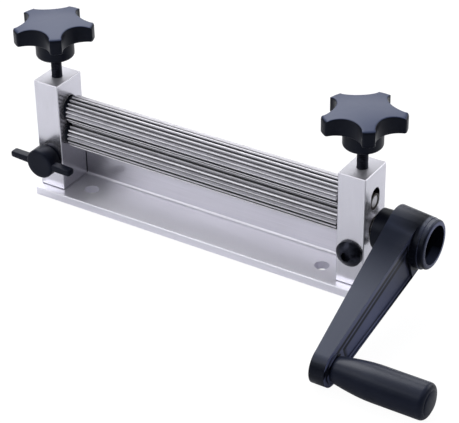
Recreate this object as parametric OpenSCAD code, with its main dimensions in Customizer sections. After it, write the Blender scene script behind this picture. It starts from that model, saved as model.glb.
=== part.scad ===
// Hand cranked corrugating mill: two fluted rollers between two uprights on a base angle.
// The origin is on the underside of the base, midway between the uprights, below the rollers' axes.
// +X runs along the rollers towards the crank, -Y is the side that the strip enters, +Z is up.

/* [Frame] */
// Gap between the uprights, the widest strip that the rollers take
roller_gap = 176; // [140:1:220]
// Width of each upright along the rollers
upright_w = 16; // [14:0.5:20]
// Depth of each upright from front to back
upright_d = 22; // [20:0.5:26]
// Height of the uprights' tops above the foot
frame_h = 70.5; // [69:0.5:80]
// Outside width of both legs of the base angle
angle_leg = 32; // [31:0.5:40]
// Thickness of both legs of the base angle
angle_t = 4.8; // [3:0.1:6]
// Fillet inside the corner of the base angle
angle_fillet = 1.6; // [0.5:0.1:2.5]
// Distance between the two bolt holes in the foot
foot_hole_spacing = 150; // [100:1:160]
// Diameter of the bolt holes in the foot
foot_hole_d = 8; // [5:0.1:9]
// Small bevel on the sawn edges
edge_break = 0.4; // [0.2:0.1:0.8]

/* [Rollers] */
// Outside diameter of both rollers
roller_d = 16; // [15.4:0.1:16.2]
// Flutes round each roller
flute_count = 20; // [18:2:22]
// Depth of a flute
flute_depth = 1.6; // [1.5:0.05:1.8]
// Radius at the bottom of a flute
flute_root_r = 0.5; // [0.45:0.05:0.6]
// Angle of a flute's flank to its centre line
flute_flank = 22; // [20:1:24]
// Turn of both rollers, in mesh, from a flute of the lower one at its top
flute_turn = 7; // [-9:0.5:9]
// Height of the lower roller's axis above the foot
lower_axis_h = 37.5; // [35:0.5:38]
// Distance between the two axes with the flutes in mesh
axis_spacing = 15; // [14.95:0.05:15.4]
// Diameter of the lower roller's journals
lower_journal_d = 8; // [6:0.5:9]
// Diameter of the upper roller's journals
upper_journal_d = 6.5; // [5:0.5:7]

/* [Bearings] */
// Wall of the bushes that carry the lower roller
bush_wall = 2; // [1:0.25:2.5]
// Diameter of the sliding blocks that carry the upper roller
block_d = 8.8; // [8.2:0.1:10]
// How far the upper roller lifts from its place in mesh
lift = 3; // [2:0.25:3.5]
// How far the upper roller can be screwed down from its place in mesh
drop = 0.25; // [0.1:0.05:0.25]
// Diameter of the black thrust washers
washer_d = 14.4; // [11:0.2:14.6]
// Thickness of the thrust washers
washer_t = 2; // [0.5:0.1:2.2]

/* [Star knobs] */
// Diameter across the lobes
star_d = 44.8; // [40:0.2:45]
// Number of lobes
star_lobes = 5; // [5:1:5]
// Radius of the scoops between the lobes
scoop_r = 12.4; // [11:0.1:13]
// Distance of a scoop's centre from the knob's axis
scoop_reach = 26.8; // [26:0.1:28]
// Rounding of a lobe's two corners
lobe_corner_r = 1.3; // [1:0.1:2]
// Thickness of the lobed disc at its lobes
star_t = 8.4; // [7:0.2:12]
// How far the crowned top rises above the lobes' tips
star_crown = 2.6; // [1:0.1:3]
// Rounding of the lobed disc's upper edge
star_edge_r = 2; // [0.8:0.1:2.4]
// Rounding of the lobed disc's lower edge
star_low_edge_r = 0.6; // [0.4:0.1:1]
// Diameter of the hub under the lobes
star_hub_d = 21.2; // [18:0.2:24]
// Height of the hub under the lobes
star_hub_h = 11.2; // [6:0.1:13]
// Diameter of the adjusting screw
stud_d = 6; // [5:0.5:6]
// Length of the adjusting screw that shows above the upright
stud_show = 12.6; // [8:0.1:16]
// Direction of a lobe of the left knob
left_star_turn = -50.1; // [-90:0.1:90]
// Direction of a lobe of the right knob
right_star_turn = -54.8; // [-90:0.1:90]

/* [Crank] */
// Distance from the roller's axis to the grip's axis
crank_r = 88.5; // [80:0.5:100]
// Angle of the arm below the horizontal
crank_drop = 18; // [0:0.5:18]
// Outline radius of the arm at the hub
arm_root_r = 15.1; // [14.5:0.1:17]
// How much wider the arm is on the rear side of the hub than on its front side
arm_rear_swell = 1.4; // [0:0.1:2]
// Outline radius of the arm at the grip
arm_tip_r = 10; // [9.5:0.1:11]
// Thickness of the arm at the hub
arm_root_t = 16; // [14:0.2:16.2]
// Thickness of the arm at the grip
arm_tip_t = 8.4; // [7.6:0.1:8.6]
// Distance from the upright to the middle of the arm's thickness
arm_mid_out = 19.9; // [19.8:0.1:22]
// Gap between the upright and the crank's hub
hub_gap = 3.2; // [1:0.1:3.6]
// Radius of the hub's inner boss
boss_r = 11; // [10.6:0.1:13.5]
// Rounding of the inner boss's edge towards the upright
boss_edge_r = 2.8; // [1.5:0.1:3.2]
// Radius of the hub's tube where it leaves the arm
tube_root_r = 14.1; // [13.8:0.1:14.6]
// Radius of the hub's tube at its mouth
tube_mouth_r = 13.3; // [12.6:0.1:13.7]
// Length of the tube beyond the arm's outer face
tube_out = 6.7; // [5:0.1:10]
// Radius of the cup inside the tube
cup_r = 10.5; // [8.5:0.1:10.8]
// Depth of the cup
cup_depth = 16.6; // [12:0.1:17]
// Depth of the first step of the recess in the arm
recess_step = 1.2; // [0.6:0.1:1.4]
// Further depth of the panel in the recess
panel_step = 1.2; // [0.6:0.1:1.4]

/* [Grip] */
// Length of the grip
grip_len = 51.9; // [45:0.1:70]
// Diameter of the grip over its barrel
grip_d = 19; // [16:0.2:21]
// Diameter of the grip beside the arm
grip_neck_d = 13.6; // [13:0.2:15]
// Diameter of the spindle inside the grip
spindle_d = 7; // [6:0.5:8]

/* [Front screws] */
// Height of both front screws above the foot
front_screw_h = 24.6; // [24.6:0.1:26.4]
// Thread diameter of the front screws
front_screw_d = 8; // [6:0.5:8]
// Diameter of the button head
button_d = 14.6; // [13:0.2:15.4]
// Height of the button head
button_h = 4.8; // [4:0.1:6]
// Height of the button head's straight rim
button_rim = 1.2; // [0.6:0.1:2]
// Diameter of the wing knob's hub
wing_hub_d = 17.2; // [15:0.2:20]
// Distance from the upright to the wing knob's front face
wing_out = 11.3; // [11.3:0.1:14]
// Distance across both wings
wing_span = 40.6; // [36:0.2:42]
// Thickness of a wing along its front edge
wing_edge_t = 2.6; // [2:0.1:3]
// Greatest thickness of a wing at the hub
wing_root_t = 4.6; // [4.2:0.1:6]
// Greatest thickness of a wing at its tip
wing_tip_t = 3.6; // [3.3:0.1:4.2]
// Angle of the wings from level
wing_turn_angle = -2; // [-45:1:45]

/* [Hidden] */
$fn = 64;

// Fits
// Radial clearance of turning journals, threads and pressed pins
fit = 0.05;
// Gap on each side of a sliding block
slide_fit = 0.1;
// Gap between a turning end face and its washer
end_play = 0.25;
// Overrun of every cut
over = 1;

// Frame
upright_x = roller_gap / 2 + upright_w / 2;
outer_x = roller_gap / 2 + upright_w;
base_len = roller_gap + 2 * upright_w;
fence_y = upright_d / 2;
foot_front_y = fence_y + angle_t - angle_leg;
foot_hole_y = (foot_front_y + fence_y) / 2;
toe_r = angle_t / 8;

// Rollers
upper_axis_h = lower_axis_h + axis_spacing;
roller_r = roller_d / 2;
roller_len = roller_gap - 2 * (washer_t + slide_fit + end_play);
flute_centre_r = roller_r - flute_depth + flute_root_r;
bush_d = lower_journal_d + 2 * bush_wall;
journal_inset = 0.4;

// Upper bearings
slot_w = block_d + 2 * slide_fit;
block_len = upright_w - 2 * slide_fit;
block_flat = block_d * 0.45;
slot_low = upper_axis_h - drop - slide_fit;
slot_high = upper_axis_h + lift + 4 * slide_fit;

// Adjusting screws
stud_tip_d = stud_d * 0.6;
stud_tip_len = stud_d / 3;
stud_low = upper_axis_h + block_flat + fit;
star_low = frame_h + stud_show;
stud_in_knob = star_hub_h + star_t / 2;
star_hub_edge_r = star_hub_d / 12;

// Crank, with its places along X counted from the upright's outer face
tube_mouth = arm_mid_out + arm_root_t / 2 + tube_out;
cup_floor = tube_mouth - cup_depth;
tip_face = arm_mid_out + arm_tip_t / 2;
pad_h = 1;
pad_r = grip_neck_d / 2 + pad_h;
insert_af = lower_journal_d * 1.6;
drive_flat = lower_journal_d * 0.375;
crank_screw_d = 5;
crank_screw_len = 12;
crank_screw_head_d = 8.5;
crank_screw_head_h = 5;
crank_washer_d = 15;
crank_washer_t = 1.2;
axle_end_gap = 0.3;
tube_lip_r = 1.5;
tube_shoulder = 3.3;
rim_front = 3.7;
rim_rear = 1.5;
panel_front = 8.6;
panel_rear = 3.2;
panel_near = arm_root_r * 0.92;
panel_far = crank_r - arm_tip_r * 1.1;

// Grip
grip_gap = 0.4;
grip_edge_r = grip_d / 7;
grip_dome = 1.2;
grip_low = tip_face + pad_h + grip_gap;
grip_swell = grip_len * 0.45;
spindle_in_grip = grip_len * 0.78;
spindle_thread_d = 6;
nut_af = 10;
nut_h = 4;
nut_pocket = nut_h + 2 * slide_fit;
ring_t = 1;
ring_wire = 1.5;
ring_low = grip_low + spindle_in_grip * 0.8;

// Front screws
wing_washer_t = 1.2;
wing_washer_d = 15.4;
wing_neck_h = 1.6;
wing_neck_d = 14.6;
wing_front_step = 0.8;
wing_depth = 5;
wing_crest = 2.6;
wing_tip_r = 1.6;
wing_rim_r = 1.4;
hex_af = 5;
hex_depth = 2.6;

// Colours
aluminium = [0.78, 0.78, 0.82];
steel = [0.72, 0.72, 0.74];
bronze = [0.72, 0.58, 0.36];
black_plastic = [0.13, 0.14, 0.17];
black_steel = [0.10, 0.10, 0.12];

function polar(r, a) = [r * cos(a), r * sin(a)];

// Rectangle with bevelled corners, centred
module eased_rectangle(w, d, e) {
    polygon([
        [-w / 2 + e, -d / 2], [w / 2 - e, -d / 2], [w / 2, -d / 2 + e], [w / 2, d / 2 - e],
        [w / 2 - e, d / 2], [-w / 2 + e, d / 2], [-w / 2, d / 2 - e], [-w / 2, -d / 2 + e]
    ]);
}

// Block with every edge bevelled, centred on X and Y and standing on z = 0
module eased_block(w, d, h, e) {
    intersection() {
        linear_extrude(h) eased_rectangle(w, d, e);
        translate([0, d / 2, h / 2]) rotate([90, 0, 0]) linear_extrude(d) eased_rectangle(w, h, e);
        translate([-w / 2, 0, h / 2]) rotate([90, 0, 90]) linear_extrude(w) eased_rectangle(d, h, e);
    }
}

// Half section of a round piece with both rims rounded, for rotate_extrude
module rounded_section(r, h, top_r, low_r) {
    square([r - top_r, h]);
    translate([0, low_r]) square([r, h - low_r - top_r]);
    square([r - low_r, h - top_r]);
    translate([r - top_r, h - top_r]) circle(top_r);
    translate([r - low_r, low_r]) circle(low_r);
}

// Cylinder along +X from x0, round the axis at height z
module x_cylinder(x0, len, r, z) {
    translate([x0, 0, z]) rotate([0, 90, 0]) cylinder(r = r, h = len);
}

// Ring along +X from x0
module x_ring(x0, len, r, bore_r, z) {
    difference() {
        x_cylinder(x0, len, r, z);
        x_cylinder(x0 - over, len + 2 * over, bore_r, z);
    }
}

module base_angle() {
    color(aluminium)
    difference() {
        translate([-base_len / 2, fence_y, 0]) rotate([90, 0, 90]) linear_extrude(base_len) angle_section();
        for (s = [-1, 1]) {
            translate([s * foot_hole_spacing / 2, foot_hole_y, -over])
                cylinder(d = foot_hole_d, h = angle_t + 2 * over);
            translate([s * upright_x, fence_y - over, front_screw_h]) rotate([-90, 0, 0])
                cylinder(d = front_screw_d + 2 * fit, h = angle_t + 2 * over);
        }
    }
}

// Section of the angle, with the front of its fence on x = 0 and its foot on y = 0
module angle_section() {
    difference() {
        union() {
            translate([angle_t - angle_leg, 0]) square([angle_leg, angle_t]);
            square([angle_t, angle_leg]);
            translate([-angle_fillet, angle_t]) square(angle_fillet);
        }
        translate([-angle_fillet, angle_t + angle_fillet]) circle(angle_fillet);
        translate([angle_t - angle_leg, angle_t]) toe_cut();
        translate([0, angle_leg]) toe_cut();
    }
}

// What rounds the toe of a leg whose corner is at the origin
module toe_cut() {
    difference() {
        translate([-over, -toe_r]) square([over + toe_r, over + toe_r]);
        translate([toe_r, -toe_r]) circle(toe_r);
    }
}

module upright() {
    difference() {
        translate([0, 0, angle_t]) eased_block(upright_w, upright_d, frame_h - angle_t, edge_break);
        corner_relief();
        bearing_slot();
        x_cylinder(-upright_w / 2 - over, upright_w + 2 * over, bush_d / 2, lower_axis_h);
        translate([0, 0, upper_axis_h]) cylinder(d = stud_d + 2 * fit, h = frame_h);
        translate([0, -upright_d, front_screw_h]) rotate([-90, 0, 0])
            cylinder(d = front_screw_d + 2 * fit, h = 2 * upright_d);
    }
}

// Bevel that keeps the upright clear of the fillet in the angle
module corner_relief() {
    relief = angle_fillet + slide_fit;
    translate([-upright_w, fence_y, angle_t]) rotate([90, 0, 90]) linear_extrude(2 * upright_w)
        polygon([[-relief, 0], [-relief, -over], [over, -over], [over, relief], [0, relief]]);
}

// Slot with round ends for the sliding block, right through the upright
module bearing_slot() {
    translate([-upright_w / 2 - over, 0, 0]) rotate([90, 0, 90]) linear_extrude(upright_w + 2 * over) {
        translate([-slot_w / 2, slot_low]) square([slot_w, slot_high - slot_low]);
        for (z = [slot_low, slot_high]) translate([0, z]) circle(d = slot_w);
    }
}

module left_upright() {
    color(aluminium) translate([-upright_x, 0, 0]) upright();
}

module right_upright() {
    color(aluminium) translate([upright_x, 0, 0]) upright();
}

module lower_bush(s) {
    color(bronze)
    x_ring(s * upright_x - upright_w / 2, upright_w, bush_d / 2 - fit, lower_journal_d / 2 + fit, lower_axis_h);
}

module left_lower_bush() {
    lower_bush(-1);
}

module right_lower_bush() {
    lower_bush(1);
}

// Thrust washer lying inside an upright; gap is what keeps it off the upright's face
module thrust_washer(s, gap, bore_d, z) {
    x0 = s * (roller_gap / 2 - gap - washer_t / 2) - washer_t / 2;
    color(black_plastic)
    x_ring(x0, washer_t, washer_d / 2, bore_d / 2 + fit, z);
}

module left_lower_washer() {
    thrust_washer(-1, 0, lower_journal_d, lower_axis_h);
}

module right_lower_washer() {
    thrust_washer(1, 0, lower_journal_d, lower_axis_h);
}

module left_upper_washer() {
    thrust_washer(-1, slide_fit, upper_journal_d, upper_axis_h);
}

module right_upper_washer() {
    thrust_washer(1, slide_fit, upper_journal_d, upper_axis_h);
}

// One flute, cut along +X of the section
module flute() {
    low = flute_centre_r - flute_root_r * sin(flute_flank);
    high = roller_r + over;
    half_low = flute_root_r * cos(flute_flank);
    half_high = half_low + (high - low) * tan(flute_flank);
    translate([flute_centre_r, 0]) circle(flute_root_r);
    polygon([[low, -half_low], [high, -half_high], [high, half_high], [low, half_low]]);
}

// Fluted part of a roller, along X; phase is the turn of its first flute from the top
module fluted_bar(phase) {
    translate([-roller_len / 2, 0, 0]) rotate([90, 0, 90]) linear_extrude(roller_len)
        difference() {
            circle(roller_r);
            for (i = [0:flute_count - 1]) rotate(90 + phase + i * 360 / flute_count) flute();
        }
}

module lower_roller() {
    drive_end = outer_x + cup_floor - axle_end_gap;
    color(steel)
    difference() {
        union() {
            translate([0, 0, lower_axis_h]) fluted_bar(-flute_turn);
            x_cylinder(-outer_x + journal_inset, outer_x + hub_gap + outer_x - journal_inset, lower_journal_d / 2, lower_axis_h);
            translate([0, 0, lower_axis_h]) on_crank()
                linear_extrude(drive_end) drive_section(0);
        }
        x_cylinder(drive_end - crank_screw_len, crank_screw_len + over, crank_screw_d / 2 + fit, lower_axis_h);
    }
}

// Turns a crank piece, drawn with its arm along +X and the roller's axis along +Z, to its place
module on_crank() {
    rotate([crank_drop - 90, 0, 0]) rotate([0, 90, 0]) children();
}

// Round section with one flat, larger than the axle by gap
module drive_section(gap) {
    intersection() {
        circle(lower_journal_d / 2 + gap);
        translate([-lower_journal_d, -lower_journal_d]) square([lower_journal_d + drive_flat + gap, 2 * lower_journal_d]);
    }
}

// Places a crank piece whose zero height is the upright's outer face
module at_crank() {
    translate([outer_x, 0, lower_axis_h]) on_crank() children();
}

// Outline of the arm: two round ends and their common tangents; inset_front and inset_rear shrink it
module arm_outline(inset_front, inset_rear) {
    inset = (inset_front + inset_rear) / 2;
    shift = (inset_rear - inset_front) / 2;
    root_r = arm_root_r + arm_rear_swell / 2 - inset;
    tip_r = arm_tip_r - inset;
    root = [0, arm_rear_swell / 2];
    tip = [crank_r, 0];
    heading = atan2(-root.y, crank_r);
    square_on = 90 - asin((root_r - tip_r) / norm(tip - root));
    translate([0, -shift]) {
        translate(root) circle(root_r);
        translate(tip) circle(tip_r);
        polygon([
            root + polar(root_r, heading + square_on), root + polar(root_r, heading - square_on),
            tip + polar(tip_r, heading - square_on), tip + polar(tip_r, heading + square_on)
        ]);
    }
}

// Wedge between the arm's two faces, taken in by depth from the outer face
module arm_wedge(depth) {
    out = arm_root_r + over;
    translate([0, 2 * arm_root_r, arm_mid_out]) rotate([90, 0, 0]) linear_extrude(4 * arm_root_r)
        polygon([
            [-out, -arm_root_t / 2], [0, -arm_root_t / 2], [crank_r, -arm_tip_t / 2], [crank_r + out, -arm_tip_t / 2],
            [crank_r + out, arm_tip_t / 2 - depth], [crank_r, arm_tip_t / 2 - depth],
            [0, arm_root_t / 2 - depth], [-out, arm_root_t / 2 - depth]
        ]);
}

// Everything above a plane that lies depth below the arm's outer face
module above_recess(depth) {
    out = arm_root_r + over;
    translate([0, 2 * arm_root_r, arm_mid_out]) rotate([90, 0, 0]) linear_extrude(4 * arm_root_r)
        polygon([
            [-out, arm_root_t / 2 - depth], [0, arm_root_t / 2 - depth],
            [crank_r, arm_tip_t / 2 - depth], [crank_r + out, arm_tip_t / 2 - depth],
            [crank_r + out, arm_root_t], [-out, arm_root_t]
        ]);
}

// Recess in the arm's outer face between two cross lines
module arm_recess(depth, inset_front, inset_rear, near, far) {
    intersection() {
        linear_extrude(tube_mouth) arm_outline(inset_front, inset_rear);
        above_recess(depth);
        translate([near, -2 * arm_root_r, 0]) cube([far - near, 4 * arm_root_r, tube_mouth]);
    }
}

module crank_arm() {
    color(black_plastic)
    at_crank() difference() {
        union() {
            difference() {
                intersection() {
                    linear_extrude(tube_mouth) arm_outline(0, 0);
                    arm_wedge(0);
                }
                arm_recess(recess_step, rim_front, rim_rear, panel_near, crank_r + arm_tip_r);
                arm_recess(recess_step + panel_step, panel_front, panel_rear, panel_near, panel_far);
            }
            translate([0, 0, hub_gap]) rotate_extrude() rounded_section(boss_r, arm_mid_out - hub_gap, fit, boss_edge_r);
            rotate_extrude() tube_section();
            translate([crank_r, 0, arm_mid_out]) cylinder(r = pad_r, h = tip_face + pad_h - arm_mid_out);
        }
        translate([0, 0, cup_floor]) cylinder(r = cup_r, h = cup_depth + over);
        linear_extrude(cup_floor + over) hexagon(insert_af + 2 * fit);
        translate([crank_r, 0, 0]) {
            cylinder(d = spindle_thread_d + 2 * fit, h = tube_mouth);
            cylinder(r = nut_af / 2 / cos(30) + slide_fit, h = arm_mid_out - arm_tip_t / 2 + nut_pocket);
        }
    }
}

// Half section of the hub's tube, with a low shoulder and a rounded lip
module tube_section() {
    lip = tube_mouth - tube_lip_r;
    shoulder = arm_mid_out + arm_root_t / 2 + tube_shoulder;
    polygon([
        [0, arm_mid_out], [tube_root_r, arm_mid_out], [tube_root_r, shoulder - slide_fit], [tube_mouth_r, shoulder],
        [tube_mouth_r, lip], [tube_mouth_r - tube_lip_r, tube_mouth], [0, tube_mouth]
    ]);
    translate([tube_mouth_r - tube_lip_r, lip]) circle(tube_lip_r);
}

// Hexagon with its flats af apart
module hexagon(af) {
    circle(r = af / 2 / cos(30), $fn = 6);
}

module crank_insert() {
    color(steel)
    at_crank() translate([0, 0, hub_gap]) linear_extrude(cup_floor - hub_gap) difference() {
        hexagon(insert_af);
        drive_section(fit);
    }
}

module crank_washer() {
    color(black_steel)
    x_ring(outer_x + cup_floor, crank_washer_t, crank_washer_d / 2, crank_screw_d / 2 + slide_fit, lower_axis_h);
}

module crank_screw() {
    head = outer_x + cup_floor + crank_washer_t;
    tail = outer_x + cup_floor - crank_screw_len + over;
    color(black_steel)
    difference() {
        union() {
            x_cylinder(tail, head - tail + over, crank_screw_d / 2, lower_axis_h);
            x_cylinder(head, crank_screw_head_h, crank_screw_head_d / 2, lower_axis_h);
        }
        translate([head + crank_screw_head_h / 2, 0, lower_axis_h]) rotate([0, 90, 0])
            linear_extrude(crank_screw_head_h) hexagon(crank_screw_d * 0.8);
    }
}

module handle_spindle() {
    shoulder = tip_face + pad_h;
    tail = arm_mid_out - arm_tip_t / 2 + fit;
    groove = ring_low - fit;
    color(steel)
    at_crank() translate([crank_r, 0, 0]) difference() {
        union() {
            translate([0, 0, tail]) cylinder(d = spindle_thread_d, h = shoulder - tail + over);
            translate([0, 0, shoulder]) cylinder(d = spindle_d, h = grip_gap + spindle_in_grip);
        }
        translate([0, 0, groove]) difference() {
            cylinder(d = spindle_d + over, h = ring_t + 2 * fit);
            translate([0, 0, -over]) cylinder(d = spindle_d - ring_wire, h = ring_t + 3 * over);
        }
    }
}

module spindle_nut() {
    color(black_steel)
    at_crank() translate([crank_r, 0, arm_mid_out - arm_tip_t / 2 + slide_fit]) difference() {
        linear_extrude(nut_h) hexagon(nut_af);
        translate([0, 0, -over]) cylinder(d = spindle_thread_d + 2 * fit, h = nut_h + 2 * over);
    }
}

module grip_ring() {
    color(steel)
    at_crank() translate([crank_r, 0, ring_low]) difference() {
        cylinder(d = spindle_d + ring_wire, h = ring_t);
        translate([0, 0, -over]) cylinder(d = spindle_d - ring_wire + 2 * fit, h = ring_t + 2 * over);
    }
}

module handle_grip() {
    color(black_plastic)
    at_crank() translate([crank_r, 0, grip_low]) difference() {
        rotate_extrude() grip_section();
        translate([0, 0, -over]) cylinder(d = spindle_d + 2 * slide_fit, h = spindle_in_grip + grip_edge_r + over);
        translate([0, 0, ring_low - grip_low - slide_fit])
            cylinder(d = spindle_d + ring_wire + 2 * slide_fit, h = ring_t + 2 * slide_fit);
    }
}

// Half section of the grip: a neck that swells to the barrel, a rounded rim and a low dome
module grip_section() {
    r = grip_d / 2;
    neck = grip_neck_d / 2;
    steps = 8;
    rim = grip_len - grip_dome - grip_edge_r;
    swell = [for (i = [0:steps]) [neck + (r - neck) * sin(90 * i / steps), grip_swell * i / steps]];
    round = [for (i = [0:steps]) [r - grip_edge_r, rim] + polar(grip_edge_r, 90 * i / steps)];
    crown = [for (i = [1:steps]) [(r - grip_edge_r) * cos(90 * i / steps), grip_len - grip_dome + grip_dome * sin(90 * i / steps)]];
    polygon(concat([[0, 0]], swell, round, crown));
}

module upper_roller() {
    reach = outer_x - journal_inset;
    color(steel) {
        translate([0, 0, upper_axis_h]) fluted_bar(180 / flute_count + flute_turn);
        x_cylinder(-reach, 2 * reach, upper_journal_d / 2, upper_axis_h);
    }
}

// Round bearing block with a flat for the adjusting screw's tip
module upper_block(s) {
    x0 = s * upright_x - block_len / 2;
    color(bronze)
    difference() {
        x_ring(x0, block_len, block_d / 2, upper_journal_d / 2 + fit, upper_axis_h);
        translate([s * upright_x, 0, upper_axis_h + block_flat])
            cylinder(d = stud_tip_d + 2 * slide_fit, h = block_d);
    }
}

module left_upper_block() {
    upper_block(-1);
}

module right_upper_block() {
    upper_block(1);
}

// Outline of a star knob: a disc with scoops between its lobes and rounded lobe corners
module star_outline() {
    r = star_d / 2;
    centre_r = r - lobe_corner_r;
    reach = scoop_r + lobe_corner_r;
    away = acos((centre_r * centre_r + scoop_reach * scoop_reach - reach * reach) / (2 * centre_r * scoop_reach));
    scoop = [scoop_reach, 0];
    step = 360 / star_lobes;
    difference() {
        circle(r);
        for (i = [0:star_lobes - 1]) rotate((i + 0.5) * step) {
            translate(scoop) circle(scoop_r);
            for (s = [-1, 1]) {
                corner = polar(centre_r, s * away);
                polygon([
                    corner, polar(r + over, s * away), polar(r + over, s * away / 2),
                    scoop + (corner - scoop) * scoop_r / reach / 2
                ]);
            }
        }
    }
    for (i = [0:star_lobes - 1], s = [-1, 1])
        rotate((i + 0.5) * step) translate(polar(centre_r, s * away)) circle(lobe_corner_r);
}

// Half section that gives the lobed disc its crowned top and rounded rim
module crowned_section() {
    r = star_d / 2;
    crown_r = (r * r + star_crown * star_crown) / (2 * star_crown);
    crown_z = star_t + star_crown - crown_r;
    rim_r = r - star_edge_r;
    reach = crown_r - star_edge_r;
    rim_z = crown_z + sqrt(reach * reach - rim_r * rim_r);
    touch = [rim_r, rim_z - crown_z] * crown_r / reach;
    intersection() {
        translate([0, crown_z]) circle(crown_r, $fn = 720);
        square([touch[0], star_t + star_crown]);
    }
    translate([rim_r, rim_z]) circle(star_edge_r);
    translate([0, star_low_edge_r]) square([r, rim_z - star_low_edge_r]);
    square([r - star_low_edge_r, rim_z]);
    translate([r - star_low_edge_r, star_low_edge_r]) circle(star_low_edge_r);
}

module star_knob(s, turn) {
    color(black_plastic)
    translate([s * upright_x, 0, star_low]) rotate(turn) difference() {
        union() {
            translate([0, 0, star_hub_h]) intersection() {
                linear_extrude(star_t + star_crown) star_outline();
                rotate_extrude() crowned_section();
            }
            rotate_extrude() rounded_section(star_hub_d / 2, star_hub_h + star_edge_r, fit, star_hub_edge_r);
        }
        translate([0, 0, -over]) cylinder(d = stud_d + 2 * fit, h = stud_in_knob + over);
    }
}

module left_star_knob() {
    star_knob(-1, left_star_turn);
}

module right_star_knob() {
    star_knob(1, right_star_turn);
}

module adjusting_screw(s) {
    color(black_steel)
    translate([s * upright_x, 0, stud_low]) {
        cylinder(d = stud_tip_d, h = stud_tip_len + over);
        translate([0, 0, stud_tip_len]) cylinder(d = stud_d, h = star_low + stud_in_knob - fit - stud_low - stud_tip_len);
    }
}

module left_adjusting_screw() {
    adjusting_screw(-1);
}

module right_adjusting_screw() {
    adjusting_screw(1);
}

// Places a front screw's piece, drawn along +Z, to stand out of an upright's front face
module at_front(s) {
    translate([s * upright_x, -upright_d / 2, front_screw_h]) rotate([90, 0, 0]) children();
}

module front_shank(up) {
    depth = upright_d + angle_t - edge_break;
    translate([0, 0, -depth]) cylinder(d = front_screw_d, h = depth + up);
}

module clamp_screw() {
    dome_h = button_h - button_rim;
    dome_r = (button_d * button_d / 4 + dome_h * dome_h) / (2 * dome_h);
    color(black_steel)
    at_front(1) difference() {
        union() {
            front_shank(button_h / 2);
            intersection() {
                cylinder(d = button_d, h = button_h);
                translate([0, 0, button_h + edge_break - dome_r]) sphere(dome_r);
            }
        }
        translate([0, 0, button_h - hex_depth]) linear_extrude(button_h) hexagon(hex_af);
    }
}

module wing_washer() {
    color(black_steel)
    at_front(-1) difference() {
        cylinder(d = wing_washer_d, h = wing_washer_t);
        translate([0, 0, -over]) cylinder(d = front_screw_d + 2 * slide_fit, h = wing_washer_t + 2 * over);
    }
}

module wing_stud() {
    color(black_steel) at_front(-1) front_shank(wing_out / 2);
}

// Both wings seen from above, with rounded tips
module wing_plan() {
    reach = wing_span / 2 - wing_tip_r;
    high = wing_out - wing_front_step;
    low = high - wing_depth;
    translate([-reach, low]) square([2 * reach, wing_depth]);
    translate([-wing_span / 2, low + wing_tip_r]) square([wing_span, wing_depth - 2 * wing_tip_r]);
    for (s = [-1, 1], z = [low + wing_tip_r, high - wing_tip_r]) translate([s * reach, z]) circle(wing_tip_r);
}

// Both wings seen from the front, thinner towards their tips
module wing_front() {
    tip = wing_tip_t / 2;
    root = wing_root_t / 2;
    reach = wing_span / 2 - tip;
    polygon([[-reach, -tip], [0, -root], [reach, -tip], [reach, tip], [0, root], [-reach, tip]]);
    for (s = [-1, 1]) translate([s * reach, 0]) circle(tip);
}

// A wing seen from its end, widest at its crest; drawn with the height along X and the way out along Y
module wing_end() {
    high = wing_out - wing_front_step;
    edge = wing_edge_t / 2;
    crest = wing_root_t / 2;
    low = high - wing_depth;
    polygon([
        [edge, high], [crest, high - wing_crest], [crest, low + wing_tip_r], [edge, low],
        [-edge, low], [-crest, low + wing_tip_r], [-crest, high - wing_crest], [-edge, high]
    ]);
}

module wing_knob() {
    hub_low = wing_washer_t + wing_neck_h;
    color(black_plastic)
    at_front(-1) rotate(wing_turn_angle) difference() {
        union() {
            translate([0, 0, wing_washer_t]) cylinder(d = wing_neck_d, h = wing_neck_h + over);
            translate([0, 0, hub_low]) rotate_extrude()
                rounded_section(wing_hub_d / 2, wing_out - hub_low, wing_rim_r, edge_break);
            intersection() {
                translate([0, wing_root_t, 0]) rotate([90, 0, 0]) linear_extrude(2 * wing_root_t) wing_plan();
                linear_extrude(wing_out) wing_front();
                translate([-wing_span, 0, 0]) rotate([90, 0, 90]) linear_extrude(2 * wing_span) wing_end();
            }
        }
        translate([0, 0, -over]) cylinder(d = front_screw_d + 2 * fit, h = wing_out / 2 + fit + over);
    }
}

base_angle();
left_upright();
right_upright();
left_lower_bush();
right_lower_bush();
left_lower_washer();
right_lower_washer();
clamp_screw();
lower_roller();
crank_arm();
crank_insert();
crank_washer();
crank_screw();
handle_spindle();
spindle_nut();
grip_ring();
handle_grip();
upper_roller();
left_upper_block();
right_upper_block();
left_upper_washer();
right_upper_washer();
left_star_knob();
right_star_knob();
left_adjusting_screw();
right_adjusting_screw();
wing_washer();
wing_stud();
wing_knob();
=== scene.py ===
import math

import bmesh
import bpy
from mathutils import Matrix, Vector


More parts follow.
